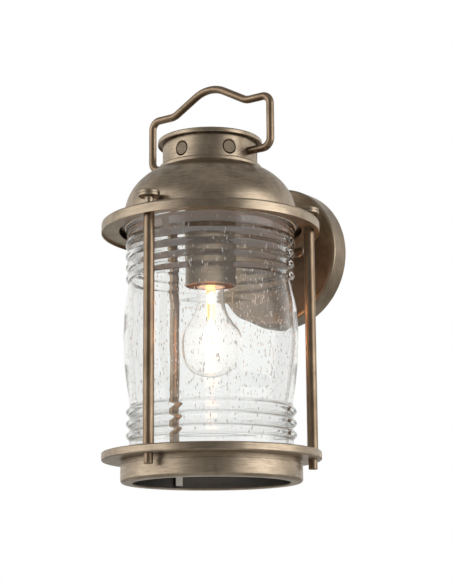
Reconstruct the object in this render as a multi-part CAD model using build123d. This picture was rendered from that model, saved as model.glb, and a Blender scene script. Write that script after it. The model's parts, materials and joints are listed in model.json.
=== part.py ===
from build123d import *
import math
import os

# An outdoor wall lantern: a round wall plate and a short arm carry a spun brass head with a dome,
# a vented collar and a carrying handle.  Three guard rods hang a lower ring and its bezel from the
# head, and a ribbed glass jar is clamped between the two around a screw-in lamp.
#
# Millimetres.  The origin is the centre of the mounting strap's rear face, on the wall, +Y goes into the wall,
# +X is to the right when the lantern is faced, +Z is up.

# ---- overall places ------------------------------------------------------------------------------
JAR_R = 80.3                # glass jar's rim, which the head and the cage are sized round
CAGE_HEIGHT = 206.7         # lower edge of the upper ring down to the top of the lower ring
RING_Z = 2.0                # lower edge of the upper ring
NUT_CLEARANCE = 0.34        # plate nut's end to the upper ring
ROD_AZIMUTHS = {"front": 0.0, "right": 120.0, "left": -120.0}

# ---- sheet metal, gaps and fits ------------------------------------------------------------------
SHEET = 1.2                 # spun brass wall
RUN_GAP = 0.06              # radial clearance of a running fit
SEAT_GAP = 0.1              # a hand nut stands this far off its seat
FREE_GAP = 0.4              # radial gap between pieces that only pass each other

# ---- wall plate ----------------------------------------------------------------------------------
PLATE_R = 70.0
PLATE_DEPTH = 21.0
PLATE_EDGE = 3.0
GASKET_WIDTH = 6.0
GASKET_THICK = 3.0
STRAP_CLEARANCE = 15.0      # strap's end inside the plate's edge
SLOT_INSET = 10.5           # wall screw's slot inside the strap's end
STUD_GAP = 11.5             # stud to the slot's centre
EARTH_GAP = 7.0             # earth screw to the stud
STRAP_WIDTH = 18.0
STRAP_THICK = 2.0
STRAP_CORNER = 3.0
STUD_R = 2.0
SLOT_LENGTH = 10.0
SLOT_R = 2.4
PLATE_NUT_R = 6.6
PLATE_NUT_LENGTH = 9.0
PLATE_NUT_EDGE = 1.8
PLATE_NUT_SKIN = 2.0        # metal over the stud's end
GROOVE_RISE = 3.6           # above the nut's seat
GROOVE_DEPTH = 0.7
GROOVE_WIDTH = 0.8

# ---- arm -----------------------------------------------------------------------------------------
ARM_R = 9.0
ARM_WALL = 2.0
ARM_CLEARANCE = 0.3         # saddle above the upper ring
ESCUTCHEON_REACH = 8.0      # beyond the arm
ESCUTCHEON_THICK = 3.0
SADDLE_REACH = 2.0          # beyond the arm
SADDLE_THICK = 5.0
LOCKNUT_REACH = 3.0         # flats beyond the arm
LOCKNUT_THICK = 4.0

# ---- upper ring ----------------------------------------------------------------------------------
RING_REACH = 22.8           # beyond the jar's rim
RING_HEIGHT = 9.7
RING_EDGE = 2.0
RING_SHELF = 21.6           # flat that runs in under the dome
UNDERPLATE_LIFT = 2.2       # underplate's lower face above the ring's lower edge
UNDERPLATE_GAP = 6.2        # round the jar's rim

# ---- dome, collar and lid ------------------------------------------------------------------------
DOME_REACH = 1.3            # beyond the jar's rim
DOME_CURVE_RX = 56.0        # quarter ellipse of the dome's shoulder
DOME_CURVE_RZ = 49.0
DOME_WALL_HEIGHT = 7.3      # upright stretch below the ellipse
SHELF_INSET = 6.1           # dome's hole, inside the collar
FOOT_REACH = 4.2            # collar's foot bead beyond the collar
FOOT_HEIGHT = 3.7
COLLAR_R = 45.3
COLLAR_WALL = 1.5
COLLAR_HEIGHT = 27.1
VENT_COUNT = 6
VENT_R = 6.5
VENT_RISE = 13.4            # vent centres above the dome's top
VENT_BEVEL = 0.5
VENT_GAP = 0.6               # open ring between a vent and its rain disc
VENT_DISC_THICK = 1.6
VENT_DISC_INSET = 0.5
VENT_STEM_R = 2.0
LINER_FLANGE = 5.8
LINER_HOLE_R = 3.0
LID_REACH = 4.7             # lid's edge beyond the collar
LID_HEIGHT = 4.5
LID_SKIRT = 1.5
LID_EDGE = 1.4
LID_SCREW_R = 2.5
LID_HEAD_R = 5.0
LID_HEAD_HEIGHT = 2.6
LID_SCREW_DROP = 9.0        # screw's end below the collar's top
LID_NUT_AF = 8.0
LID_NUT_THICK = 3.0
LINER_WALL = 1.0
LINER_HOLE_DROP = 8.0

# ---- carrying handle -----------------------------------------------------------------------------
WIRE_R = 3.7
PIVOT_RISE = 13.2           # pivot above the dome's top
HANDLE_REACH = 24.7         # upright's centre line beyond the collar
SHOULDER_RISE = 50.5        # wire centre line above the pivot
HUMP_FOOT_X = 43.0
HUMP_RISE = 74.2            # where the hump's two slopes would meet, above the pivot
CORNER_BEND = 8.5
SHOULDER_BEND = 16.0
HUMP_BEND = 35.0
RETAINER_R = 5.5
RETAINER_THICK = 1.7
RETAINER_INSET = 0.9        # retainer's outer face inside the collar's inner wall
WIRE_PROUD = 0.5            # wire's end beyond the retainer

# ---- guard rods and their nuts -------------------------------------------------------------------
ROD_INSET = 10.0            # rod's centre line inside the upper ring's edge
ROD_R = 5.0
UPPER_STUD_R = 3.0
UPPER_STUD_RISE = 10.5      # above the upper ring
LOWER_STUD_R = 2.5
LOWER_STUD_DROP = 7.0       # below the lower ring
SPACER_R = 6.0
KNOB_R = 9.8
KNOB_NECK_R = 4.1
KNOB_NECK_HEIGHT = 7.2
KNOB_HEAD_HEIGHT = 5.4
KNOB_GROOVE = 0.7
KNOB_GROOVE_RISE = 2.43     # above the head's lower face
KNOB_GROOVE_WIDTH = 0.6
KNOB_CAP_R = 7.3
KNOB_CAP_HEIGHT = 1.2
FOOT_NUT_R = 4.1
FOOT_NUT_HEIGHT = 9.1

# ---- lower ring and bezel ------------------------------------------------------------------------
LOWER_INSET = 1.7           # inside the upper ring's edge
LOWER_HEIGHT = 7.7
LOWER_WALL = 1.5
LOWER_EDGE = 1.3
NECK_REACH = 2.2            # beyond the jar's rim
NECK_WALL = 2.0
NECK_DROP = 4.1
LEDGE_INSET = 6.3           # inside the jar's rim
LEDGE_DEPTH = 4.7           # glass ledge below the lower ring's top
WELL_GAP = 1.7              # bore above the ledge, round the jar's rim
BEZEL_STEP = 1.3            # bezel beyond the neck
BEZEL_HEIGHT = 16.3
BEZEL_WALL = 1.5
BEZEL_EDGE = 3.0
BEZEL_LIP = 1.2             # lip inside the ledge
SPIGOT_RISE = 5.0
CLIP_WIDTH = 7.0
CLIP_THICK = 0.8
CLIP_LENGTH = 18.0
CLIP_GAP = 0.6              # off the spigot's bore

# ---- glass jar -----------------------------------------------------------------------------------
GLASS_WALL = 3.0
RIB_INSET = 0.6             # crests and valleys inside the rim
VALLEY_INSET = 2.9
UPPER_RIB_DROP = 11.4       # first crest below the upper ring's lower edge
UPPER_RIB_COUNT = 4
UPPER_RIB_PITCH = 10.7
BELLY_SWELL = 1.5           # belly beyond the rim
BELLY_DROP = 100.0
LOWER_RIB_INSET = 1.3
LOWER_VALLEY_INSET = 4.9
LOWER_RIB_RISE = 37.3       # first crest above the lower ring
LOWER_RIB_COUNT = 3
LOWER_RIB_PITCH = 10.9
GLASS_FOOT_INSET = 2.3
TOP_GASKET_THICK = 2.5
BOTTOM_GASKET_THICK = 2.4
GASKET_OVERHANG = 0.7
TOP_GASKET_WIDTH = 6.2

# ---- reflector, lamp holder and lamp -------------------------------------------------------------
REFLECTOR_REACH = 2.2       # beyond the jar's rim
REFLECTOR_THICK = 1.0
REFLECTOR_SCREW_INSET = 12.3
REFLECTOR_SCREW_COUNT = 3
REFLECTOR_SCREW_R = 1.5
REFLECTOR_SCREW_HEAD_R = 2.8
REFLECTOR_SCREW_HEAD_HEIGHT = 1.6
CUP_WALL = 1.2
CUP_DEPTH = 60.0
CUP_CLEARANCE = 2.5         # round the holder
HOLDER_LENGTH = 52.0
HOLDER_WALL = 5.4
HOLDER_NECK_INSET = 5.0
HOLDER_BORE_DEPTH = 25.0
LEAD_BORE_R = 2.4
SHELL_WALL = 0.8
THREAD_GAP = 0.7            # cap's crests inside the shell
CAP_R = 13.1
CAP_LENGTH = 21.0
CAP_WALL = 0.4
CONTACT_SPRING_R = 2.0
CONTACT_PLATE_R = 7.0
CONTACT_PLATE_THICK = 0.8
INSULATOR_HEIGHT = 2.6
CONTACT_R = 4.6
CONTACT_HEIGHT = 0.8
TIP_DROP = 8.5              # tip of the lamp's contact below the top of the holder's bore
GLOBE_R = 29.5
GLOBE_DROP = 77.3           # globe centre below the tip
STEM_RISE = 24.0            # stem's end above the globe's centre
BULB_WALL = 0.8
BULB_NECK_GAP = 0.3         # inside the cap
BULB_NECK_LAP = 2.0         # neck starts this far below the cap's top and ends this far below its foot
BULB_LEAN = 38.0            # degrees above the globe's waist where the neck's sweep starts
STEM_R = 3.2
STEM_FLARE_R = 4.5
STEM_FLARE_DROP = 14.0
FILAMENT_R = 0.45
FILAMENT_SPREAD = 11.0
FILAMENT_RISE = 4.0         # above the globe's centre
NIPPLE_R = 5.0
NIPPLE_BORE_R = 3.6
NIPPLE_NUT_AF = 14.0
NIPPLE_NUT_THICK = 3.0
NIPPLE_ENTRY = 9.0          # nipple into the holder

# ---- wiring --------------------------------------------------------------------------------------
LEAD_R = 1.1
LEAD_GAP = 3.0              # lead centre lines, apart
LEAD_BEND = 7.0
BLOCK_SIZE = (18.0, 9.0, 14.0)
BLOCK_Z = -4.0

# ---- worked out from the above -------------------------------------------------------------------
strap_half = PLATE_R - STRAP_CLEARANCE
slot_x = strap_half - SLOT_INSET
stud_x = slot_x - STUD_GAP
earth_x = stud_x - EARTH_GAP
ring_r = JAR_R + RING_REACH
nut_inner_x = stud_x - PLATE_NUT_R
axis_reach = PLATE_DEPTH + PLATE_NUT_LENGTH + NUT_CLEARANCE + math.sqrt(ring_r**2 - nut_inner_x**2)
ring_top = RING_Z + RING_HEIGHT
ring_bore_r = JAR_R + DOME_REACH - RING_SHELF
saddle_r = ARM_R + SADDLE_REACH
arm_z = ring_top + ARM_CLEARANCE + saddle_r
underplate_z = RING_Z + UNDERPLATE_LIFT
underplate_bore_r = JAR_R + UNDERPLATE_GAP
rod_pitch_r = ring_r - ROD_INSET
shelf_z = ring_top - SHEET
reflector_z = shelf_z - REFLECTOR_THICK
reflector_r = JAR_R + REFLECTOR_REACH
reflector_screw_r = JAR_R - REFLECTOR_SCREW_INSET
dome_r = JAR_R + DOME_REACH
foot_r = COLLAR_R + FOOT_REACH
dome_bore_r = COLLAR_R - SHELF_INSET
dome_spring = ring_top + DOME_WALL_HEIGHT
dome_centre_r = dome_r - DOME_CURVE_RX
dome_lean = math.acos((foot_r - dome_centre_r) / DOME_CURVE_RX)
dome_top = dome_spring + DOME_CURVE_RZ * math.sin(dome_lean)
collar_bore_r = COLLAR_R - COLLAR_WALL
collar_top = dome_top + COLLAR_HEIGHT
pivot_z = dome_top + PIVOT_RISE
handle_x = COLLAR_R + HANDLE_REACH
retainer_face = collar_bore_r - RETAINER_INSET
handle_end_x = retainer_face - RETAINER_THICK - WIRE_PROUD
vent_z = dome_top + VENT_RISE
liner_r = dome_bore_r - FREE_GAP
lid_r = COLLAR_R + LID_REACH
lid_top = collar_top + LID_HEIGHT - LID_SKIRT
lower_r = ring_r - LOWER_INSET
lower_top = RING_Z - CAGE_HEIGHT
lower_bottom = lower_top - LOWER_HEIGHT
neck_r = JAR_R + NECK_REACH
neck_bottom = lower_bottom - NECK_DROP
spigot_r = neck_r - NECK_WALL
well_r = JAR_R + WELL_GAP
ledge_r = JAR_R - LEDGE_INSET
ledge_z = lower_top - LEDGE_DEPTH
bezel_r = neck_r + BEZEL_STEP
bezel_bottom = neck_bottom - BEZEL_HEIGHT
bezel_lip_r = ledge_r - BEZEL_LIP
glass_top = reflector_z - TOP_GASKET_THICK
glass_bottom = ledge_z + BOTTOM_GASKET_THICK
holder_top = reflector_z - CUP_WALL
holder_bottom = holder_top - HOLDER_LENGTH
holder_bore_top = holder_bottom + HOLDER_BORE_DEPTH
shell_bore_r = CAP_R + THREAD_GAP
holder_bore_r = shell_bore_r + SHELL_WALL
holder_r = holder_bore_r + HOLDER_WALL
cup_r = holder_r + CUP_CLEARANCE + CUP_WALL
lamp_tip = holder_bore_top - TIP_DROP
cap_top = lamp_tip - CONTACT_HEIGHT - INSULATOR_HEIGHT
cap_bottom = cap_top - CAP_LENGTH
cap_bore_r = CAP_R - CAP_WALL
bulb_neck_r = cap_bore_r - BULB_NECK_GAP
bulb_neck_top = cap_top - BULB_NECK_LAP
globe_z = lamp_tip - GLOBE_DROP
stem_end = globe_z + STEM_RISE


def at_axis(shape):
    """Move a piece drawn about the Z axis to the lantern's own axis."""
    return Pos(0, -axis_reach, 0) * shape


def spun(outline):
    """Turn a closed outline of radius and height about the lantern's axis."""
    return at_axis(shell_of(outline))


def profile(*corners):
    """Closed outline from corners (radius, height) or (radius, height, rounding)."""
    roundings = [corner[2] if len(corner) == 3 else 0 for corner in corners]
    return FilletPolyline(*[corner[:2] for corner in corners], radius=roundings, close=True)


def tube(outer, inner, low, high):
    """A plain ring about the lantern's axis."""
    return spun(profile((inner, low), (outer, low), (outer, high), (inner, high)))


def shell_of(outline):
    """Turn a closed outline of radius and height about the Z axis."""
    return revolve(Plane.XZ * make_face(outline), Axis.Z)


def rod(radius, low, high):
    """An upright cylinder about the Z axis."""
    return Pos(0, 0, (low + high) / 2) * Cylinder(radius, high - low)


def round_the_axis(shape, azimuth):
    """Turn a piece drawn on the lantern's front side to an azimuth about its axis."""
    return at_axis(Rot(0, 0, azimuth) * shape)


def at_rods(shape):
    """Three copies of a piece drawn about the Z axis, one on each guard rod's line."""
    return [round_the_axis(Pos(0, -rod_pitch_r, 0) * shape, azimuth) for azimuth in ROD_AZIMUTHS.values()]


def evenly_round(shape, count, offset=0.0):
    """Copies of a piece drawn on the front side, evenly round the axis; offset is in steps."""
    return [round_the_axis(shape, (index + offset) * 360 / count) for index in range(count)]


def through_wall(shape):
    """Lay a piece drawn about Z along Y, with its +Z end towards the room."""
    return Rot(90, 0, 0) * shape


def hex_nut(across_flats, bore_r, thick):
    """A hexagon nut standing on z = 0."""
    nut = extrude(RegularPolygon(across_flats / 2, 6, major_radius=False), thick)
    return nut - rod(bore_r, -1, thick + 1)


# ---- wall plate and strap ------------------------------------------------------------------------
def wall_plate():
    """A spun pan, open to the wall, with holes for the arm and the two plate studs."""
    inner_edge = PLATE_EDGE - SHEET
    outline = profile((0, PLATE_DEPTH), (PLATE_R, PLATE_DEPTH, PLATE_EDGE), (PLATE_R, 0),
                      (PLATE_R - SHEET, 0), (PLATE_R - SHEET, PLATE_DEPTH - SHEET, inner_edge),
                      (0, PLATE_DEPTH - SHEET))
    pan = through_wall(shell_of(outline))
    hole_low = PLATE_DEPTH - 2 * SHEET
    hole_high = PLATE_DEPTH + SHEET
    pan -= Pos(0, 0, arm_z) * through_wall(rod(ARM_R, hole_low, hole_high))
    for side in (-1, 1):
        pan -= Pos(side * stud_x, 0, 0) * through_wall(rod(STUD_R + FREE_GAP, hole_low, hole_high))
    return pan


def wall_gasket():
    """Foam ring between the pan's rim and the wall."""
    outer = PLATE_R - SHEET
    return through_wall(rod(outer, 0, GASKET_THICK) - rod(outer - GASKET_WIDTH, -1, GASKET_THICK + 1))


def mounting_strap():
    """Steel strap on the wall box: two slots for wall screws and two tapped holes for the studs."""
    strap = Box(2 * strap_half, STRAP_THICK, STRAP_WIDTH)
    strap = Pos(0, -STRAP_THICK / 2, 0) * fillet(strap.edges().filter_by(Axis.Y), STRAP_CORNER)
    for side in (-1, 1):
        slot = extrude(SlotOverall(SLOT_LENGTH, 2 * SLOT_R), STRAP_THICK)
        strap -= Pos(side * slot_x, 0, 0) * through_wall(slot)
        strap -= Pos(side * stud_x, 0, 0) * through_wall(rod(STUD_R, 0, STRAP_THICK))
    return strap - Pos(earth_x, 0, 0) * through_wall(rod(STUD_R, 0, STRAP_THICK))


def plate_studs():
    """Two studs from the strap out through the pan."""
    stud = rod(STUD_R, 0, PLATE_DEPTH + PLATE_NUT_LENGTH - PLATE_NUT_SKIN - 0.5)
    return [Pos(side * stud_x, 0, 0) * through_wall(stud) for side in (-1, 1)]


def plate_nut(side):
    """A round hand nut with a groove and a domed face, on its stud."""
    low = PLATE_DEPTH + SEAT_GAP
    high = PLATE_DEPTH + PLATE_NUT_LENGTH
    groove_low = low + GROOVE_RISE
    groove_high = groove_low + GROOVE_WIDTH
    groove_r = PLATE_NUT_R - GROOVE_DEPTH
    outline = profile((0, low), (PLATE_NUT_R, low, 0.5), (PLATE_NUT_R, groove_low), (groove_r, groove_low),
                      (groove_r, groove_high), (PLATE_NUT_R, groove_high), (PLATE_NUT_R, high, PLATE_NUT_EDGE),
                      (0, high))
    nut = shell_of(outline) - rod(STUD_R + RUN_GAP, low - 1, high - PLATE_NUT_SKIN)
    return Pos(side * stud_x, 0, 0) * through_wall(nut)


def earth_screw():
    """Pan-head screw for the earth lead, in the strap."""
    screw = rod(STUD_R, 0, STRAP_THICK) + rod(2 * STUD_R, STRAP_THICK, STRAP_THICK + 2)
    return Pos(earth_x, 0, 0) * through_wall(screw)


# ---- arm -----------------------------------------------------------------------------------------
def dome_curve(inset, end_z):
    """Elliptical shoulder of the dome up to a height, a given way inside the dome's surface."""
    rx = DOME_CURVE_RX - inset
    rz = DOME_CURVE_RZ - inset
    lean = math.degrees(math.asin((end_z - dome_spring) / rz))
    return EllipticalCenterArc((dome_centre_r, dome_spring), rx, rz, arc_size=lean)


def dome_solid():
    """The dome's outside shape, filled, for trimming what meets it."""
    curve = dome_curve(0, dome_top)
    outline = [Line((0, ring_top), (dome_r, ring_top)), Line((dome_r, ring_top), curve @ 0), curve,
               Line(curve @ 1, (0, dome_top)), Line((0, dome_top), (0, ring_top))]
    return spun(outline)


def arm_tube():
    """Short tube from inside the wall plate to the dome, where it is trimmed and brazed on."""
    start = PLATE_DEPTH - SHEET - LOCKNUT_THICK - 2
    outer = rod(ARM_R, start, axis_reach)
    outer -= rod(ARM_R - ARM_WALL, 0, axis_reach + 1)
    arm = Pos(0, 0, arm_z) * through_wall(outer) - dome_solid()
    return arm.solids().sort_by(Axis.Y)[-1]


def arm_escutcheon():
    """Rounded washer on the plate's face round the arm."""
    low = PLATE_DEPTH
    high = PLATE_DEPTH + ESCUTCHEON_THICK
    outer = ARM_R + ESCUTCHEON_REACH
    outline = profile((ARM_R, low), (outer, low), (outer, high, 1.6), (ARM_R, high))
    return Pos(0, 0, arm_z) * through_wall(shell_of(outline))


def arm_saddle():
    """Collar brazed on the dome round the arm, hollowed to the dome's curve."""
    end = axis_reach - dome_r
    low = end - SADDLE_THICK + 1
    ring = rod(saddle_r, low, end + SADDLE_THICK) - rod(ARM_R, 0, axis_reach)
    saddle = Pos(0, 0, arm_z) * through_wall(ring) - dome_solid()
    return saddle.solids().sort_by(Axis.Y)[-1]


def arm_locknut():
    """Locknut on the arm inside the pan."""
    nut = hex_nut(2 * (ARM_R + LOCKNUT_REACH), ARM_R, LOCKNUT_THICK)
    return Pos(0, 0, arm_z) * through_wall(Pos(0, 0, PLATE_DEPTH - SHEET - LOCKNUT_THICK) * nut)


# ---- head ----------------------------------------------------------------------------------------
def top_ring():
    """Spun ring with a down-turned skirt and three rod holes."""
    inner_edge = RING_EDGE - SHEET
    ring = spun(profile((ring_bore_r, shelf_z), (ring_r - SHEET, shelf_z, inner_edge), (ring_r - SHEET, RING_Z),
                        (ring_r, RING_Z), (ring_r, ring_top, RING_EDGE), (ring_bore_r, ring_top)))
    for hole in at_rods(rod(UPPER_STUD_R, RING_Z, ring_top + 1)):
        ring -= hole
    for hole in at_reflector_screws(rod(REFLECTOR_SCREW_R, RING_Z, ring_top + 1)):
        ring -= hole
    return ring


def ring_underplate():
    """Flat ring pressed into the skirt, which the guard rods shoulder against."""
    plate = tube(ring_r - SHEET, underplate_bore_r, underplate_z, underplate_z + SHEET)
    for hole in at_rods(rod(UPPER_STUD_R, RING_Z, ring_top)):
        plate -= hole
    return plate


def upper_spacers():
    """Tubes round the rod studs that keep the ring from crushing."""
    spacer = rod(SPACER_R, underplate_z + SHEET, shelf_z) - rod(UPPER_STUD_R, RING_Z, ring_top)
    return at_rods(spacer)


def dome():
    """Spun dome: an upright foot, a quarter ellipse and a flat shelf for the collar."""
    outer = dome_curve(0, dome_top)
    inner = dome_curve(SHEET, dome_top - SHEET)
    outline = [Line((dome_r, ring_top), outer @ 0), outer,
               Polyline(outer @ 1, (dome_bore_r, dome_top), (dome_bore_r, dome_top - SHEET), inner @ 1), inner,
               Polyline(inner @ 0, (dome_r - SHEET, ring_top), (dome_r, ring_top))]
    lead_hole = rod(ARM_R - ARM_WALL, 0, axis_reach)
    return spun(outline) - Pos(0, 0, arm_z) * through_wall(lead_hole)


def at_vents(shape):
    """Six copies of a piece drawn about the Z axis, laid along the vents' centre lines."""
    return evenly_round(Pos(0, 0, vent_z) * Rot(90, 0, 0) * shape, VENT_COUNT)


def vent_collar():
    """Upright collar with a beaded foot, six bevelled vents and the two handle holes."""
    foot_top = dome_top + FOOT_HEIGHT
    collar = spun(profile((collar_bore_r, dome_top), (foot_r, dome_top), (foot_r, foot_top, 1.5),
                          (COLLAR_R, foot_top, 0.8), (COLLAR_R, collar_top), (collar_bore_r, collar_top)))
    bevel = VENT_R**2 / (2 * COLLAR_R) + VENT_BEVEL
    cone = Cone(VENT_R, VENT_R + 2 * bevel, 2 * bevel, align=(Align.CENTER, Align.CENTER, Align.MIN))
    drill = rod(VENT_R, liner_r + 2, foot_r) + Pos(0, 0, COLLAR_R - bevel) * cone
    for hole in at_vents(drill):
        collar -= hole
    pivot_drill = Rot(0, 90, 0) * Cylinder(WIRE_R + RUN_GAP, 3 * COLLAR_R)
    return collar - at_axis(Pos(0, 0, pivot_z) * pivot_drill)


def vent_discs():
    """Round rain discs that stand in the vents, each on a stem from the baffle."""
    face = COLLAR_R - VENT_DISC_INSET
    disc = rod(VENT_R - VENT_GAP, face - VENT_DISC_THICK, face)
    disc = fillet(disc.edges().group_by(Axis.Z)[-1], 0.4)
    disc += rod(VENT_STEM_R, liner_r - 0.5, face - VENT_DISC_THICK)
    return at_vents(disc - Rot(90, 0, 0) * Cylinder(liner_r, 4 * VENT_R))


def vent_liner():
    """Rain baffle: an upturned cup inside the collar, clamped under the dome's shelf."""
    flange_z = dome_top - SHEET
    flange_r = dome_bore_r + LINER_FLANGE
    inner = liner_r - LINER_WALL
    foot_z = flange_z - LINER_WALL
    cap_z = collar_top - LINER_WALL
    liner = spun(profile((inner, foot_z), (flange_r, foot_z), (flange_r, flange_z), (liner_r, flange_z),
                         (liner_r, collar_top), (LID_SCREW_R, collar_top), (LID_SCREW_R, cap_z), (inner, cap_z)))
    drill = Rot(90, 0, 0) * rod(LINER_HOLE_R, inner - 5, liner_r + 3)
    for hole in evenly_round(Pos(0, 0, collar_top - LINER_HOLE_DROP) * drill, VENT_COUNT, 0.5):
        liner -= hole
    return liner


def vent_lid():
    """Round lid with a rolled edge and a short skirt over the collar."""
    skirt_r = lid_r - SHEET
    skirt_z = collar_top - LID_SKIRT
    return spun(profile((LID_SCREW_R, collar_top), (skirt_r, collar_top), (skirt_r, skirt_z), (lid_r, skirt_z, 0.5),
                        (lid_r, lid_top, LID_EDGE), (LID_SCREW_R, lid_top)))


def lid_screw():
    """Pan-head screw through the lid and the baffle's top."""
    head_top = lid_top + LID_HEAD_HEIGHT
    end = collar_top - LID_SCREW_DROP
    return spun(profile((0, end), (LID_SCREW_R, end), (LID_SCREW_R, lid_top), (LID_HEAD_R, lid_top),
                        (LID_HEAD_R, head_top, 1.4), (0, head_top)))


def lid_nut():
    """Nut that draws the lid, collar and baffle together on the dome."""
    low = collar_top - LINER_WALL - LID_NUT_THICK
    return at_axis(Pos(0, 0, low) * hex_nut(LID_NUT_AF, LID_SCREW_R, LID_NUT_THICK))


# ---- carrying handle -----------------------------------------------------------------------------
def carry_handle():
    """Bent round wire: two horizontal pivots, square shoulders and a hump for the hand."""
    shoulder_z = pivot_z + SHOULDER_RISE
    half = [(handle_end_x, pivot_z), (handle_x, pivot_z), (handle_x, shoulder_z),
            (HUMP_FOOT_X, shoulder_z), (0, pivot_z + HUMP_RISE)]
    route = half + [(-x, z) for x, z in reversed(half[:-1])]
    bends = [CORNER_BEND, CORNER_BEND, SHOULDER_BEND, HUMP_BEND, SHOULDER_BEND, CORNER_BEND, CORNER_BEND]
    path = Plane.XZ * FilletPolyline(*route, radius=bends)
    start = Plane(origin=path @ 0, z_dir=path % 0)
    return at_axis(sweep(start * Circle(WIRE_R), path=path))


def handle_retainers():
    """Press-on rings that keep the pivots in the collar."""
    ring = rod(RETAINER_R, retainer_face - RETAINER_THICK, retainer_face) - rod(WIRE_R, 0, COLLAR_R)
    return [at_axis(Pos(0, 0, pivot_z) * Rot(0, side * 90, 0) * ring) for side in (-1, 1)]


# ---- guard rods ----------------------------------------------------------------------------------
def guard_rod():
    """A rod with a turned-down stud at each end."""
    body = rod(ROD_R, lower_top, underplate_z)
    upper = rod(UPPER_STUD_R, underplate_z, ring_top + UPPER_STUD_RISE)
    lower = rod(LOWER_STUD_R, lower_bottom - LOWER_STUD_DROP, lower_top)
    return body + upper + lower


def knob_nut():
    """Turned hand nut: a slim neck, a grooved round head and a smaller step on top."""
    low = ring_top + SEAT_GAP
    head = ring_top + KNOB_NECK_HEIGHT
    groove = head + KNOB_GROOVE_RISE
    groove_top = groove + KNOB_GROOVE_WIDTH
    groove_r = KNOB_R - KNOB_GROOVE
    top = head + KNOB_HEAD_HEIGHT
    outline = profile((0, low), (KNOB_NECK_R + 0.9, low), (KNOB_NECK_R, low + 1.4, 0.5), (KNOB_NECK_R, head, 1.2),
                      (KNOB_R, head, 0.7), (KNOB_R, groove), (groove_r, groove), (groove_r, groove_top),
                      (KNOB_R, groove_top), (KNOB_R, top, 0.9), (KNOB_CAP_R, top), (KNOB_CAP_R, top + KNOB_CAP_HEIGHT, 0.8), (0, top + KNOB_CAP_HEIGHT))
    nut = shell_of(outline)
    return nut - rod(UPPER_STUD_R + RUN_GAP, low - 1, ring_top + UPPER_STUD_RISE + 0.5)


def foot_nuts():
    """Plain round nuts on the rods' lower studs."""
    low = lower_bottom - FOOT_NUT_HEIGHT
    outline = profile((0, low), (FOOT_NUT_R, low, 0.8), (FOOT_NUT_R, lower_bottom), (0, lower_bottom))
    nut = shell_of(outline)
    nut -= rod(LOWER_STUD_R, lower_bottom - LOWER_STUD_DROP, lower_bottom + 1)
    return at_rods(nut)


# ---- lower ring and bezel ------------------------------------------------------------------------
def lower_ring():
    """Spun tray: skirt, flat underside, a neck for the bezel and a ledge for the glass."""
    wall = LOWER_WALL
    well_out = well_r + LOWER_WALL
    ring = spun(profile((ledge_r, ledge_z), (ledge_r, ledge_z - wall), (spigot_r, ledge_z - wall),
                        (spigot_r, neck_bottom), (neck_r, neck_bottom), (neck_r, lower_bottom),
                        (lower_r, lower_bottom, LOWER_EDGE), (lower_r, lower_top, LOWER_EDGE),
                        (lower_r - wall, lower_top), (lower_r - wall, lower_bottom + wall),
                        (well_out, lower_bottom + wall), (well_out, lower_top), (well_r, lower_top),
                        (well_r, ledge_z)))
    for hole in at_rods(rod(LOWER_STUD_R, lower_bottom - 1, lower_top + 1)):
        ring -= hole
    return ring


def lower_ring_cover():
    """Flat ring that closes the tray's top, which the guard rods stand on."""
    inner = well_r + LOWER_WALL
    outer = lower_r - LOWER_WALL
    cover = tube(outer, inner, lower_top - LOWER_WALL, lower_top)
    for hole in at_rods(rod(LOWER_STUD_R, lower_bottom - 1, lower_top + 1)):
        cover -= hole
    return cover


def lower_spacers():
    """Tubes round the lower studs inside the tray."""
    low = lower_bottom + LOWER_WALL
    high = lower_top - LOWER_WALL
    return at_rods(rod(SPACER_R, low, high) - rod(LOWER_STUD_R, low - 1, high + 1))


def bottom_bezel():
    """Open bottom ring: a spigot up inside the neck, a round wall and an inturned lip."""
    inner = bezel_r - BEZEL_WALL
    spigot_in = spigot_r - BEZEL_WALL
    top = neck_bottom + SPIGOT_RISE
    lip_z = bezel_bottom + BEZEL_WALL
    return spun(profile((spigot_in, top), (spigot_r, top), (spigot_r, neck_bottom), (bezel_r, neck_bottom, 0.4),
                        (bezel_r, bezel_bottom, BEZEL_EDGE), (bezel_lip_r, bezel_bottom), (bezel_lip_r, lip_z),
                        (inner, lip_z, BEZEL_EDGE - BEZEL_WALL), (inner, neck_bottom - BEZEL_WALL),
                        (spigot_in, neck_bottom - BEZEL_WALL)))


def bezel_clips():
    """Three bent spring strips inside the bezel, riveted under the glass ledge."""
    outer = spigot_r - BEZEL_WALL
    top = ledge_z - LOWER_WALL
    back = CLIP_GAP - outer
    foot_reach = outer - ledge_r - 1
    upright = Box(CLIP_WIDTH, CLIP_THICK, CLIP_LENGTH)
    foot = Box(CLIP_WIDTH, foot_reach, CLIP_THICK)
    clip = Pos(0, back + CLIP_THICK / 2, top - CLIP_LENGTH / 2) * upright
    clip += Pos(0, back + foot_reach / 2, top - CLIP_THICK / 2) * foot
    return [round_the_axis(clip, azimuth) for azimuth in ROD_AZIMUTHS.values()]


# ---- glass ---------------------------------------------------------------------------------------
def rib_arcs(crest_r, valley_r, first_z, count, pitch):
    """Joined arcs down a run of round ribs, from valley to valley."""
    arcs = []
    for index in range(count):
        middle = first_z - index * pitch
        top = (valley_r, middle + pitch / 2)
        low = (valley_r, middle - pitch / 2)
        arcs.append(ThreePointArc(top, (crest_r, middle), low))
    return arcs


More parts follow.
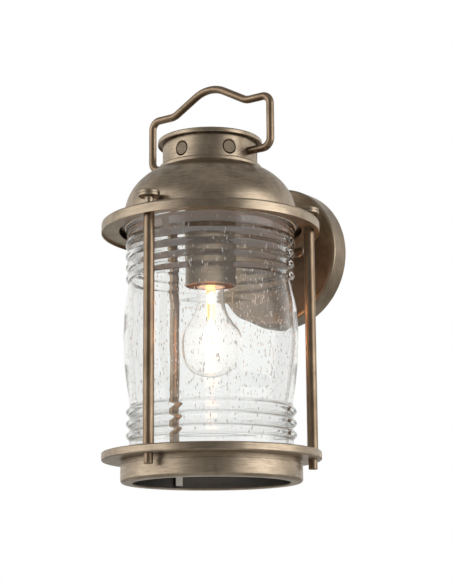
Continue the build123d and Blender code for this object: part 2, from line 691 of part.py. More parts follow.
def glass_jar():
    """Ribbed jar, open at both ends, with a full belly and a smooth bore."""
    upper = rib_arcs(JAR_R - RIB_INSET, JAR_R - VALLEY_INSET, RING_Z - UPPER_RIB_DROP, UPPER_RIB_COUNT,
                     UPPER_RIB_PITCH)
    lower = rib_arcs(JAR_R - LOWER_RIB_INSET, JAR_R - LOWER_VALLEY_INSET, lower_top + LOWER_RIB_RISE,
                     LOWER_RIB_COUNT, LOWER_RIB_PITCH)
    belly_r = JAR_R + BELLY_SWELL
    belly_z = RING_Z - BELLY_DROP
    belly = ThreePointArc(upper[-1] @ 1, (belly_r, belly_z), lower[0] @ 0)
    neck_bore_r = JAR_R - VALLEY_INSET - GLASS_WALL
    foot_bore_r = JAR_R - LOWER_VALLEY_INSET - GLASS_WALL
    neck_low = (neck_bore_r, (upper[-1] @ 1).Y)
    foot_high = (foot_bore_r, (lower[0] @ 0).Y)
    bore = ThreePointArc(foot_high, (belly_r - GLASS_WALL, belly_z), neck_low)
    foot = Polyline(lower[-1] @ 1, (JAR_R - GLASS_FOOT_INSET, glass_bottom), (foot_bore_r, glass_bottom),
                    foot_high)
    rim = Polyline(neck_low, (neck_bore_r, glass_top), (JAR_R, glass_top))
    return spun([Line((JAR_R, glass_top), upper[0] @ 0), *upper, belly, *lower, foot, bore, rim])


def glass_top_gasket():
    """Silicone ring between the jar's rim and the reflector."""
    outer = JAR_R + GASKET_OVERHANG
    return tube(outer, outer - TOP_GASKET_WIDTH, glass_top, reflector_z)


def glass_bottom_gasket():
    """Silicone ring between the jar's foot and the lower ring's ledge."""
    return tube(well_r - FREE_GAP, ledge_r, ledge_z, glass_bottom)


# ---- reflector and lamp holder -------------------------------------------------------------------
def at_reflector_screws(shape):
    """Three copies of a piece drawn about the Z axis, one on each reflector screw's line."""
    return evenly_round(Pos(0, -reflector_screw_r, 0) * shape, REFLECTOR_SCREW_COUNT, 0.5)


def reflector_plate():
    """Pale flat disc that closes the head above the glass."""
    plate = tube(reflector_r, NIPPLE_R, reflector_z, shelf_z)
    for hole in at_reflector_screws(rod(REFLECTOR_SCREW_R, reflector_z - 1, ring_top)):
        plate -= hole
    return plate


def reflector_screws():
    """Pan-head screws up through the reflector into the ring."""
    head = rod(REFLECTOR_SCREW_HEAD_R, reflector_z - REFLECTOR_SCREW_HEAD_HEIGHT, reflector_z)
    return at_reflector_screws(rod(REFLECTOR_SCREW_R, reflector_z, ring_top) + head)


def socket_cup():
    """Deep drawn cup that hides the lamp holder."""
    inner = cup_r - CUP_WALL
    low = reflector_z - CUP_DEPTH
    under = reflector_z - CUP_WALL
    return spun(profile((NIPPLE_R, under), (inner, under, 1.5), (inner, low), (cup_r, low),
                        (cup_r, reflector_z, 2.0), (NIPPLE_R, reflector_z)))


def lampholder_body():
    """Glazed ceramic holder, bored for the screw shell below and the nipple above."""
    pocket = holder_top - NIPPLE_ENTRY
    neck = holder_r - HOLDER_NECK_INSET
    shoulder = pocket - HOLDER_NECK_INSET
    return spun(profile((NIPPLE_R, holder_top), (NIPPLE_R, pocket), (LEAD_BORE_R, pocket),
                        (LEAD_BORE_R, holder_bore_top), (holder_bore_r, holder_bore_top),
                        (holder_bore_r, holder_bottom), (holder_r, holder_bottom, 1.5), (holder_r, shoulder, 1.5),
                        (neck, shoulder + 4), (neck, holder_top)))


def screw_shell():
    """Thin brass shell that takes the lamp's cap."""
    return tube(holder_bore_r, shell_bore_r, holder_bottom + 2, holder_bore_top)


def centre_contact():
    """Sprung centre contact at the top of the holder's bore."""
    low = lamp_tip + SEAT_GAP
    plate = holder_bore_top - CONTACT_PLATE_THICK
    return spun(profile((0, low), (CONTACT_SPRING_R, low), (CONTACT_SPRING_R, plate), (CONTACT_PLATE_R, plate),
                        (CONTACT_PLATE_R, holder_bore_top), (0, holder_bore_top)))


def holder_nipple():
    """Threaded tube that hangs the holder and cup from the reflector and passes the leads."""
    return tube(NIPPLE_R, NIPPLE_BORE_R, holder_top - NIPPLE_ENTRY, shelf_z + NIPPLE_NUT_THICK + 3)


def nipple_nut():
    """Nut on the nipple above the reflector."""
    return at_axis(Pos(0, 0, shelf_z) * hex_nut(NIPPLE_NUT_AF, NIPPLE_R, NIPPLE_NUT_THICK))


# ---- lamp ----------------------------------------------------------------------------------------
def lamp_contact():
    """Soldered tip of the lamp's cap."""
    low = lamp_tip - CONTACT_HEIGHT
    return spun(profile((0, low), (CONTACT_R, low), (CONTACT_R, lamp_tip, 0.5), (0, lamp_tip)))


def lamp_insulator():
    """Black glass cone between the tip and the cap."""
    high = lamp_tip - CONTACT_HEIGHT
    return spun(profile((0, cap_top), (cap_bore_r, cap_top), (CONTACT_R, high), (0, high)))


def lamp_cap():
    """Screw cap as a plain thin shell at its crest size."""
    return tube(CAP_R, cap_bore_r, cap_bottom, cap_top)


def bulb_outline(shrink, low_z):
    """Half outline of the lamp's glass: a neck that swells into a round globe."""
    neck_in = bulb_neck_r - shrink
    globe_r = GLOBE_R - shrink
    meet = Vector(0, globe_z) + Vector(globe_r, 0).rotate(Axis.Z, BULB_LEAN)
    low_side = Vector(0, globe_z) + Vector(globe_r, 0).rotate(Axis.Z, -BULB_LEAN)
    reach = meet + Vector(0, 16).rotate(Axis.Z, BULB_LEAN)
    neck = Line((neck_in, bulb_neck_top), (neck_in, low_z))
    blend = Bezier(meet, reach, (neck_in, low_z - 9), (neck_in, low_z))
    bottom = ThreePointArc(meet, low_side, (0, globe_z - globe_r))
    return neck, blend, bottom


def lamp_envelope():
    """Clear blown glass, open at the neck inside the cap."""
    low_z = cap_bottom - BULB_NECK_LAP
    neck, blend, bottom = bulb_outline(0, low_z)
    neck_in, blend_in, bottom_in = bulb_outline(BULB_WALL, low_z)
    outline = [neck, blend, bottom, Line(bottom @ 1, bottom_in @ 1), bottom_in, blend_in, neck_in,
               Line(neck_in @ 0, neck @ 0)]
    return spun(outline)


def lamp_stem():
    """Glass stem that seals the neck and carries the filament."""
    neck_in = bulb_neck_r - BULB_WALL
    return spun(profile((0, bulb_neck_top), (neck_in, bulb_neck_top), (neck_in, bulb_neck_top - 3),
                        (STEM_FLARE_R, bulb_neck_top - STEM_FLARE_DROP, 3), (STEM_R, stem_end), (0, stem_end)))


def filament_wires():
    """Two lead-in wires and the coiled filament, drawn as a thin hoop between them."""
    foot = STEM_R - 1.2
    knee = stem_end - 3
    low = globe_z + FILAMENT_RISE
    path = FilletPolyline((-foot, stem_end), (-foot, knee), (-FILAMENT_SPREAD, low), (FILAMENT_SPREAD, low),
                          (foot, knee), (foot, stem_end), radius=[4, 2.5, 2.5, 4])
    path = Plane.XZ * path
    start = Plane(origin=path @ 0, z_dir=path % 0)
    return at_axis(sweep(start * Circle(FILAMENT_R), path=path))


# ---- wiring --------------------------------------------------------------------------------------
def terminal_block():
    """Two-way terminal block behind the pan's face."""
    width, depth, height = BLOCK_SIZE
    block = Box(width, depth, height)
    block = Pos(0, -STRAP_THICK - depth / 2, BLOCK_Z) * fillet(block.edges().filter_by(Axis.Y), 1.5)
    return block


def lead(side):
    """One insulated lead: up from the block, along the arm, over the reflector and down the nipple."""
    x = side * LEAD_GAP / 2
    block_top = BLOCK_Z + BLOCK_SIZE[2] / 2
    behind = -STRAP_THICK - BLOCK_SIZE[1] / 2
    path = FilletPolyline((x, behind, block_top), (x, behind, arm_z), (x, -axis_reach, arm_z),
                          (x, -axis_reach, holder_top - NIPPLE_ENTRY), radius=LEAD_BEND)
    start = Plane(origin=path @ 0, z_dir=path % 0)
    return sweep(start * Circle(LEAD_R), path=path)


nodes = {
    "wall_plate": wall_plate(),
    "wall_gasket": wall_gasket(),
    "mounting_strap": mounting_strap(),
    "plate_studs": plate_studs(),
    "plate_nut_left": plate_nut(-1),
    "plate_nut_right": plate_nut(1),
    "earth_screw": earth_screw(),
    "arm_tube": arm_tube(),
    "arm_escutcheon": arm_escutcheon(),
    "arm_saddle": arm_saddle(),
    "arm_locknut": arm_locknut(),
    "top_ring": top_ring(),
    "ring_underplate": ring_underplate(),
    "upper_spacers": upper_spacers(),
    "dome": dome(),
    "vent_collar": vent_collar(),
    "vent_discs": vent_discs(),
    "vent_liner": vent_liner(),
    "vent_lid": vent_lid(),
    "lid_screw": lid_screw(),
    "lid_nut": lid_nut(),
    "carry_handle": carry_handle(),
    "handle_retainers": handle_retainers(),
    "foot_nuts": foot_nuts(),
    "lower_ring": lower_ring(),
    "lower_ring_cover": lower_ring_cover(),
    "lower_spacers": lower_spacers(),
    "bottom_bezel": bottom_bezel(),
    "bezel_clips": bezel_clips(),
    "glass_jar": glass_jar(),
    "glass_top_gasket": glass_top_gasket(),
    "glass_bottom_gasket": glass_bottom_gasket(),
    "reflector_plate": reflector_plate(),
    "reflector_screws": reflector_screws(),
    "socket_cup": socket_cup(),
    "lampholder_body": lampholder_body(),
    "screw_shell": screw_shell(),
    "centre_contact": centre_contact(),
    "holder_nipple": holder_nipple(),
    "nipple_nut": nipple_nut(),
    "lamp_contact": lamp_contact(),
    "lamp_insulator": lamp_insulator(),
    "lamp_cap": lamp_cap(),
    "lamp_envelope": lamp_envelope(),
    "lamp_stem": lamp_stem(),
    "filament_wires": filament_wires(),
    "terminal_block": terminal_block(),
    "lead_live": lead(-1),
    "lead_neutral": lead(1),
}
for place, azimuth in ROD_AZIMUTHS.items():
    nodes["guard_rod_" + place] = round_the_axis(Pos(0, -rod_pitch_r, 0) * guard_rod(), azimuth)
    nodes["knob_nut_" + place] = round_the_axis(Pos(0, -rod_pitch_r, 0) * knob_nut(), azimuth)

os.makedirs("parts", exist_ok=True)
for name, shape in nodes.items():
    pieces = shape if isinstance(shape, list) else [shape]
    solids = [solid for piece in pieces for solid in piece.solids()]
    export_step(Compound(solids), "parts/" + name + ".step")
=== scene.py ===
import json

import bpy
import numpy as np
from mathutils import Matrix, Vector


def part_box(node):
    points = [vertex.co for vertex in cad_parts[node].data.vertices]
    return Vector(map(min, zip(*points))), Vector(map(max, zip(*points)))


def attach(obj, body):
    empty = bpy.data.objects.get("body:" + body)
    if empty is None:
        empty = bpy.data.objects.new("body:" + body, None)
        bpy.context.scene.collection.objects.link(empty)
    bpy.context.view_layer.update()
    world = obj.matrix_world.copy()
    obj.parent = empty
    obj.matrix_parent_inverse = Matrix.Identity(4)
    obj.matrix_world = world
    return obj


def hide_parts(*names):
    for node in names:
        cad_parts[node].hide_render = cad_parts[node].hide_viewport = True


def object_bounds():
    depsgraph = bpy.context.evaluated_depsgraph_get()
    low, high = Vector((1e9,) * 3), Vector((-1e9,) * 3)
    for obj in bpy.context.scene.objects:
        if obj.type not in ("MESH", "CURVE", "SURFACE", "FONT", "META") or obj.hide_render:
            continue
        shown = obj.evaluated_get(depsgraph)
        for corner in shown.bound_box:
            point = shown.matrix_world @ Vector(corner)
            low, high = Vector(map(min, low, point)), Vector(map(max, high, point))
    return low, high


# Outdoor wall lantern.  Metres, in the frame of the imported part: the wall is y = 0, the lantern's own
# axis is upright at y = AXIS_Y, and the front of the lantern faces -Y.

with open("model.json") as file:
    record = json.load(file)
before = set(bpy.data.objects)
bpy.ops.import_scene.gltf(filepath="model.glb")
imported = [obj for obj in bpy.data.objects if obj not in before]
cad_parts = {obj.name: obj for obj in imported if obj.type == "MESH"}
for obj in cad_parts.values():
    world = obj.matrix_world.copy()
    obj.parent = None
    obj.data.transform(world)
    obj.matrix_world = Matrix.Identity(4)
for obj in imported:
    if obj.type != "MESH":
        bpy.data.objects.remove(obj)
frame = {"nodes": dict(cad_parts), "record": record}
nodes = frame["nodes"]
cad_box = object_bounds()

MM = 0.001
MICRON = 1e-6


def middle(name):
    """Centre of a CAD node's box."""
    low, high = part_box(name)
    return (np.array(low) + np.array(high)) / 2


AXIS_Y = float(middle("dome")[1])

# Painted shade: the bezel's brass is darkened inside its wall and above its lip, where shade falls in the hollow.
BEZEL_WALL = 1.5 * MM
bezel_low, bezel_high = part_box("bottom_bezel")
BEZEL_INSIDE = (bezel_high[0] - bezel_low[0]) / 2 - BEZEL_WALL + 0.2 * MM
LIP_TOP = bezel_low[2] + BEZEL_WALL - 0.3 * MM
TRAY_INSIDE = BEZEL_INSIDE - 1.2 * MM

# Marks of rubbing on the brass.
HAIR_PITCH = 0.45 * MM          # across a turned piece; coarser than the real hairs, so that they show
HAIRS_ROUND = 6.0               # how fast a hair changes along its way round the axis
DRAWN_LENGTH = 14 * MM          # along a rod
DRAWN_PITCH = 0.5 * MM          # across a rod
PATINA_PATCH = 28 * MM
FINE_GRIT = 2.2 * MM            # coarser than the real grit, so that it shows


# ---------------------------------------------------------------------------------------------
# Shader helpers
# ---------------------------------------------------------------------------------------------
def linear(hex_colour, alpha=1.0):
    """An sRGB hex colour as linear values."""
    parts = [int(hex_colour[i:i + 2], 16) / 255 for i in (1, 3, 5)]
    return tuple(c / 12.92 if c <= 0.04045 else ((c + 0.055) / 1.055) ** 2.4 for c in parts) + (alpha,)


def add_node(tree, kind, settings=None, **links):
    """Adds a node, sets its properties and plain sockets, and links the sockets given as keywords.

    A setting whose key is a socket's name or number sets that socket, any other sets a property.  A
    link's value is an output socket, and its keyword is the input's name with _ for a space, or i0,
    i1, i2 for an input by number.
    """
    made = tree.nodes.new(kind)
    for key, value in (settings or {}).items():
        if isinstance(key, int) or key in made.inputs:
            made.inputs[key].default_value = value
        else:
            setattr(made, key, value)
    for key, source in links.items():
        index = int(key[1:]) if key[0] == "i" and key[1:].isdigit() else key.replace("_", " ")
        tree.links.new(source, made.inputs[index])
    return made


def new_material(name):
    """A new node material and its tree, with the Object coordinates that its patterns read."""
    material = bpy.data.materials.new(name)
    material.use_nodes = True
    tree = material.node_tree
    tree.nodes.clear()
    return material, tree, add_node(tree, "ShaderNodeTexCoord").outputs["Object"]


def surface(tree, shader):
    """Links a shader node to the material's output."""
    add_node(tree, "ShaderNodeOutputMaterial", Surface=shader.outputs[0])


def shadow_free(tree, glass, tint):
    """The glass shader, with plain tinted see-through for shadow rays, so that light passes to the
    lamp and the metal behind it without a solid shadow."""
    passing = add_node(tree, "ShaderNodeBsdfTransparent", {"Color": linear(tint)})
    rays = add_node(tree, "ShaderNodeLightPath")
    return add_node(tree, "ShaderNodeMixShader", i0=rays.outputs["Is Shadow Ray"], i1=glass.outputs[0],
                    i2=passing.outputs[0])


# ---------------------------------------------------------------------------------------------
# Finishes
# ---------------------------------------------------------------------------------------------
def turned_grain(tree, place, centre, axis):
    """Coordinates that run slowly round an axis and fast across it, for the marks of a lathe.

    The unit vector from the axis, times the hairs' rate round it, plus the distance from the axis and
    the place on the axis, over the hairs' pitch, both laid on the axis direction.  Also gives the
    tangent round the axis.
    """
    vector = "ShaderNodeVectorMath"
    off_axis = tuple(1.0 - a for a in axis)
    moved = add_node(tree, vector, {"operation": "SUBTRACT", 1: centre}, i0=place).outputs[0]
    radial = add_node(tree, vector, {"operation": "MULTIPLY", 1: off_axis}, i0=moved).outputs[0]
    unit = add_node(tree, vector, {"operation": "NORMALIZE"}, i0=radial).outputs[0]
    distance = add_node(tree, vector, {"operation": "LENGTH"}, i0=radial).outputs["Value"]
    height = add_node(tree, vector, {"operation": "DOT_PRODUCT", 1: axis}, i0=moved).outputs["Value"]
    reach = add_node(tree, "ShaderNodeMath", {"operation": "ADD"}, i0=distance, i1=height).outputs[0]
    depth = add_node(tree, "ShaderNodeMath", {"operation": "MULTIPLY", 1: 1 / HAIR_PITCH}, i0=reach).outputs[0]
    lifted = add_node(tree, vector, {"operation": "SCALE", 0: axis}, Scale=depth).outputs[0]
    spread = add_node(tree, vector, {"operation": "SCALE", "Scale": HAIRS_ROUND}, i0=unit).outputs[0]
    grain = add_node(tree, vector, {"operation": "ADD"}, i0=spread, i1=lifted).outputs[0]
    tangent = add_node(tree, vector, {"operation": "CROSS_PRODUCT", 0: axis}, i1=unit).outputs[0]
    return grain, tangent


def painted_shade_inside(tree, place, tone, radius, height):
    """The tone, but a flat brown-grey where the distance from the lantern's axis is under a radius
    and the place is above a height: painted shade for the hollow inside."""
    moved = add_node(tree, "ShaderNodeVectorMath", {"operation": "SUBTRACT", 1: (0, AXIS_Y, 0)}, i0=place)
    split = add_node(tree, "ShaderNodeSeparateXYZ", i0=moved.outputs[0])
    squares = [add_node(tree, "ShaderNodeMath", {"operation": "POWER", 1: 2.0}, i0=split.outputs[side]).outputs[0]
               for side in "XY"]
    total = add_node(tree, "ShaderNodeMath", {"operation": "ADD"}, i0=squares[0], i1=squares[1]).outputs[0]
    span = add_node(tree, "ShaderNodeMath", {"operation": "SQRT"}, i0=total).outputs[0]
    near = add_node(tree, "ShaderNodeMath", {"operation": "LESS_THAN", 1: radius}, i0=span).outputs[0]
    above = add_node(tree, "ShaderNodeMath", {"operation": "GREATER_THAN", 1: height},
                     i0=split.outputs["Z"]).outputs[0]
    within = add_node(tree, "ShaderNodeMath", {"operation": "MULTIPLY"}, i0=near, i1=above).outputs[0]
    # Painted shade: flat brown-grey in place of the shade inside the hollow.
    return add_node(tree, "ShaderNodeMix", {"data_type": "RGBA", 7: linear("#5c5955")}, i0=within,
                    i6=tone).outputs[2]


def burnished_brass(name, lay, light="#c3b29c", dark="#7e7063", roughness=0.31, anisotropy=0.5, inside=None):
    """Antique brass: darkened, then rubbed back with fine abrasive, which leaves hair lines along the
    direction of rubbing, cloudy patches of left-over patina and a soft, stretched highlight.

    The lay is "lathe" for pieces turned about the lantern's axis, "plate" for those turned about the
    arm's, and "drawn" for rods rubbed lengthwise.  Where inside gives a radius and a height, the metal
    within and above them gets painted shade, a flat dark brown-grey for the shaded hollow.
    """
    material, tree, place = new_material(name)
    if lay == "drawn":
        stretch = (1 / DRAWN_PITCH, 1 / DRAWN_PITCH, 1 / DRAWN_LENGTH)
        grain = add_node(tree, "ShaderNodeVectorMath", {"operation": "MULTIPLY", 1: stretch}, i0=place).outputs[0]
        along = {}
    else:
        centre, axis = ((0, AXIS_Y, 0), (0.0, 0.0, 1.0)) if lay == "lathe" else ((0, 0, 0), (0.0, 1.0, 0.0))
        grain, tangent = turned_grain(tree, place, centre, axis)
        along = {"Tangent": tangent}
    hair = add_node(tree, "ShaderNodeTexNoise", {"Scale": 1.0, "Detail": 4.0, "Roughness": 0.65}, Vector=grain)
    cloud = add_node(tree, "ShaderNodeTexNoise", {"Scale": 1 / PATINA_PATCH, "Detail": 5.0, "Roughness": 0.6,
                                                  "Distortion": 0.6}, Vector=place)
    fine = add_node(tree, "ShaderNodeTexNoise", {"Scale": 1 / FINE_GRIT, "Detail": 3.0}, Vector=place)
    patina = add_node(tree, "ShaderNodeMapRange", {"From Min": 0.32, "From Max": 0.68},
                      Value=cloud.outputs["Fac"]).outputs[0]
    lines = add_node(tree, "ShaderNodeMapRange", {"From Min": 0.3, "From Max": 0.7},
                     Value=hair.outputs["Fac"]).outputs[0]

    hair_share = 0.55
    clouded = add_node(tree, "ShaderNodeMath", {"operation": "MULTIPLY", 1: 1 - hair_share}, i0=patina).outputs[0]
    rubbed = add_node(tree, "ShaderNodeMath", {"operation": "MULTIPLY_ADD", 1: hair_share}, i0=lines,
                      i2=clouded).outputs[0]
    colour = add_node(tree, "ShaderNodeValToRGB", Fac=rubbed)
    for stop, position, shade in zip(colour.color_ramp.elements, (0.05, 0.95), (dark, light)):
        stop.color = linear(shade)
        stop.position = position
    tone = colour.outputs[0]
    # Painted shade inside the hollow, where a radius and a height are given.
    if inside is not None:
        tone = painted_shade_inside(tree, place, tone, *inside)

    # A rubbed hair is smoother than the patina beside it, and the grit roughens both a little.
    rough = add_node(tree, "ShaderNodeMath", {"operation": "MULTIPLY_ADD", 1: -0.14, 2: roughness + 0.07},
                     i0=lines).outputs[0]
    rough = add_node(tree, "ShaderNodeMath", {"operation": "MULTIPLY_ADD", 1: 0.06}, i0=fine.outputs["Fac"],
                     i2=rough).outputs[0]
    bump = add_node(tree, "ShaderNodeBump", {"Strength": 0.4, "Distance": 0.05 * MM}, Height=lines)
    surface(tree, add_node(tree, "ShaderNodeBsdfPrincipled", {"Metallic": 1.0, "Anisotropic": anisotropy},
                           Base_Color=tone, Roughness=rough, Normal=bump.outputs[0], **along))
    return material


def plain_metal(name, colour, roughness):
    """Plated or rolled metal: even colour with a slight cloudiness in its polish."""
    material, tree, place = new_material(name)
    cloud = add_node(tree, "ShaderNodeTexNoise", {"Scale": 1 / (1.2 * MM), "Detail": 3.0}, Vector=place)
    rough = add_node(tree, "ShaderNodeMath", {"operation": "MULTIPLY_ADD", 1: 0.16, 2: roughness - 0.08},
                     i0=cloud.outputs["Fac"]).outputs[0]
    surface(tree, add_node(tree, "ShaderNodeBsdfPrincipled", {"Metallic": 1.0, "Base Color": linear(colour)},
                           Roughness=rough))
    return material


def coated(name, colour, other, roughness, mottle_mm=3.0, skin_um=8.0):
    """Paint, moulded plastic, rubber or glaze: two close shades in soft mottles over a fine skin."""
    material, tree, place = new_material(name)
    mottle = add_node(tree, "ShaderNodeTexNoise", {"Scale": 1 / (mottle_mm * MM), "Detail": 3.0}, Vector=place)
    skin = add_node(tree, "ShaderNodeTexNoise", {"Scale": 1 / (0.4 * MM), "Detail": 2.0}, Vector=place)
    tint = add_node(tree, "ShaderNodeMix", {"data_type": "RGBA", 6: linear(colour), 7: linear(other)},
                    i0=mottle.outputs["Fac"])
    rough = add_node(tree, "ShaderNodeMath", {"operation": "MULTIPLY_ADD", 1: 0.1, 2: roughness - 0.05},
                     i0=skin.outputs["Fac"]).outputs[0]
    bump = add_node(tree, "ShaderNodeBump", {"Strength": 0.3, "Distance": skin_um * MICRON},
                    Height=skin.outputs["Fac"])
    surface(tree, add_node(tree, "ShaderNodeBsdfPrincipled", Base_Color=tint.outputs[2], Roughness=rough,
                           Normal=bump.outputs[0]))
    return material


def clear_glass(name, tint, clear=1.0):
    """Blown soda glass: clear with a trace of iron green, and a faint waviness from the blowing.  A trapped
    bubble is less clear: the rest of it is white diffuse, a painted reflection for the light its wall throws back."""
    material, tree, place = new_material(name)
    wave = add_node(tree, "ShaderNodeTexNoise", {"Scale": 1 / (18 * MM), "Detail": 2.0}, Vector=place)
    bump = add_node(tree, "ShaderNodeBump", {"Strength": 0.5, "Distance": 30 * MICRON}, Height=wave.outputs["Fac"])
    shader = add_node(tree, "ShaderNodeBsdfPrincipled",
                      {"Base Color": linear(tint), "Roughness": 0.0, "IOR": 1.5, "Transmission Weight": clear},
                      Normal=bump.outputs[0])
    surface(tree, shadow_free(tree, shader, "#f4f7f5"))
    return material


def painted_glow_glass(name, colour, strength):
    """Lamp glass with a painted glow: an even, faintly mottled emission in place of the filament's light in the
    glass.
    """
    material, tree, place = new_material(name)
    # Painted glow: the emission level is mottled by this noise.
    glow_mottle = add_node(tree, "ShaderNodeTexNoise", {"Scale": 1 / (30 * MM)}, Vector=place)
    level = add_node(tree, "ShaderNodeMath", {"operation": "MULTIPLY_ADD", 1: 0.3 * strength, 2: 0.85 * strength},
                     i0=glow_mottle.outputs["Fac"]).outputs[0]
    shader = add_node(tree, "ShaderNodeBsdfPrincipled",
                      {"Base Color": linear("#ffffff"), "Roughness": 0.0, "IOR": 1.5, "Transmission Weight": 1.0,
                       "Emission Color": linear(colour)}, Emission_Strength=level)
    surface(tree, shadow_free(tree, shader, "#fbfbfb"))
    return material


def glowing_wire(name, colour, strength):
    """Tungsten at full heat, a little hotter and cooler along its coils."""
    material, tree, place = new_material(name)
    coil = add_node(tree, "ShaderNodeTexNoise", {"Scale": 1 / (0.8 * MM)}, Vector=place)
    heat = add_node(tree, "ShaderNodeMath", {"operation": "MULTIPLY_ADD", 1: 0.4 * strength, 2: 0.8 * strength},
                    i0=coil.outputs["Fac"]).outputs[0]
    surface(tree, add_node(tree, "ShaderNodeEmission", {"Color": linear(colour)}, Strength=heat))
    return material


# Antique brass, burnished: soft warm highlights drawn out along the hairs.
lathe_brass = burnished_brass("burnished_brass_turned", "lathe")
plate_brass = burnished_brass("burnished_brass_plate", "plate", light="#b09f89", dark="#6b5d50")
drawn_brass = burnished_brass("burnished_brass_drawn", "drawn", light="#a8937c", dark="#715f4e", anisotropy=0.0)
# The bezel and the lower ring get painted shade inside their hollow, above the lip.
bezel_brass_painted_shade = burnished_brass("burnished_brass_bezel_painted_shade", "lathe", inside=(BEZEL_INSIDE, LIP_TOP))
tray_brass_painted_shade = burnished_brass("burnished_brass_tray_painted_shade", "lathe", inside=(TRAY_INSIDE, LIP_TOP))
# The same brass, darker and duller: painted shade for the vent discs sunk in their holes.
vent_brass_painted_shade = burnished_brass("brass_painted_recess_shade", "plate", light="#857869", dark="#5f554a", roughness=0.4)
# Zinc plate is pale and a little cloudy, spring steel and lamp-cap aluminium are brighter and even,
# and bare contact brass is yellow.
zinc_steel = plain_metal("zinc_plated_steel", "#c9c9c4", 0.35)
spring_steel = plain_metal("bright_spring_steel", "#d8d6d0", 0.4)
contact_brass = plain_metal("bright_brass_contact", "#d9b25c", 0.3)
cap_aluminium = plain_metal("lamp_cap_aluminium", "#cfcfcd", 0.35)
# Blown soda glass bends what is behind it, and its seeds are partly white diffuse, a painted reflection that shows
# them as pale flecks.
jar_glass = clear_glass("blown_seeded_glass", "#fafbfa")
seed_glass_painted_reflection = clear_glass("trapped_air_seed_painted_reflection", "#ffffff", clear=0.4)
# Painted glow: the lamp's glass glows faintly, and its stem glows warm orange, both in place of the filament's
# light on them.
lamp_glass = painted_glow_glass("lamp_glass", "#fff6ea", 0.05)
stem_glass_painted_glow = painted_glow_glass("painted_glow_stem_glass", "#ffab52", 0.55)
filament_glow = glowing_wire("hot_tungsten", "#ffd9a8", 12.0)
# Sprayed paint has a satin sheen, silicone a soft one, and closed-cell foam is black, pitted and matt.
reflector_paint = coated("reflector_satin_paint", "#b9b5b7", "#aca8aa", 0.35)
silicone = coated("silicone_gasket", "#dedcd4", "#d2d0c8", 0.5)
foam_rubber = coated("closed_cell_foam", "#26262a", "#1b1b1e", 0.85, skin_um=60.0)
# Glazed ceramic and the lamp's black glass are glossy, moulded nylon and lead insulation less so.
holder_ceramic = coated("glazed_ceramic", "#ece6d8", "#e2dccd", 0.15)
black_glass = coated("black_glass_insulator", "#141416", "#0c0c0d", 0.12)
block_nylon = coated("moulded_nylon", "#e4e1d6", "#dbd8cc", 0.5)
lead_brown = coated("lead_insulation_brown", "#5a3520", "#4c2c1a", 0.45)
lead_blue = coated("lead_insulation_blue", "#2c5a9c", "#264f8a", 0.45)

slot_finishes = {
    "burnished_brass": lathe_brass, "zinc_steel": zinc_steel, "spring_steel": spring_steel,
    "jar_glass": jar_glass, "lamp_glass": lamp_glass, "reflector_paint": reflector_paint, "silicone": silicone,
    "foam_rubber": foam_rubber, "holder_ceramic": holder_ceramic, "contact_brass": contact_brass,
    "cap_aluminium": cap_aluminium, "black_glass": black_glass, "filament": filament_glow,
    "block_nylon": block_nylon, "lead_brown": lead_brown, "lead_blue": lead_blue,
}
# Pieces whose finish differs from that of their slot.
piece_finishes = {
    "guard_rod_front": drawn_brass, "guard_rod_right": drawn_brass, "guard_rod_left": drawn_brass,
    "carry_handle": drawn_brass, "foot_nuts": drawn_brass,
    "wall_plate": plate_brass, "plate_nut_left": plate_brass, "plate_nut_right": plate_brass,
    "arm_tube": plate_brass, "arm_escutcheon": plate_brass, "arm_saddle": plate_brass, "arm_locknut": plate_brass,
    # The lamp stem takes glass with a painted warm glow.
    # The vent discs take brass with painted shade for their recess.
    "bottom_bezel": bezel_brass_painted_shade, "lower_ring": tray_brass_painted_shade, "vent_discs": vent_brass_painted_shade, "lamp_stem": stem_glass_painted_glow,
}
for part in frame["record"]["subparts"]:
    name = part["node"]
    mesh = nodes[name].data
    mesh.materials.clear()
    mesh.materials.append(piece_finishes.get(name, slot_finishes[part["material_slot"]]))


# ---------------------------------------------------------------------------------------------
# Surfaces
# ---------------------------------------------------------------------------------------------
def add_piece(name, points, faces, material):
    """A smooth-shaded mesh object from points and faces."""
    mesh = bpy.data.meshes.new(name)
    mesh.from_pydata(points.reshape(-1, 3).tolist(), [], faces)
    mesh.validate()
    mesh.polygons.foreach_set("use_smooth", np.ones(len(mesh.polygons), bool))
    mesh.materials.append(material)
    piece = bpy.data.objects.new(name, mesh)
    bpy.context.scene.collection.objects.link(piece)
    return piece


def grid_faces(rows, columns, wrap_rows, wrap_columns):
    """Quads between neighbouring rows and columns of a grid, joined round where it wraps."""
    a, b = np.meshgrid(np.arange(rows if wrap_rows else rows - 1),
                       np.arange(columns if wrap_columns else columns - 1), indexing="ij")
    a2, b2 = (a + 1) % rows, (b + 1) % columns
    corners = [a * columns + b, a2 * columns + b, a2 * columns + b2, a * columns + b2]
    return np.stack(corners, -1).reshape(-1, 4)


def lathe(name, radius, height, material, steps):
    """A closed profile of radius and height turned about the lantern's axis: x = r sin t,
    y = axis - r cos t."""
    turn = np.linspace(0, 2 * np.pi, steps, endpoint=False)[:, None]
    x = radius[None] * np.sin(turn)
    y = AXIS_Y - radius[None] * np.cos(turn)
    z = np.broadcast_to(height[None], x.shape)
    faces = grid_faces(steps, len(radius), True, True)
    return add_piece(name, np.stack([x, y, z], -1), faces.tolist(), material)


# ---- the jar --------------------------------------------------------------------------------
jar_low, jar_high = (np.array(c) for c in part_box("glass_jar"))

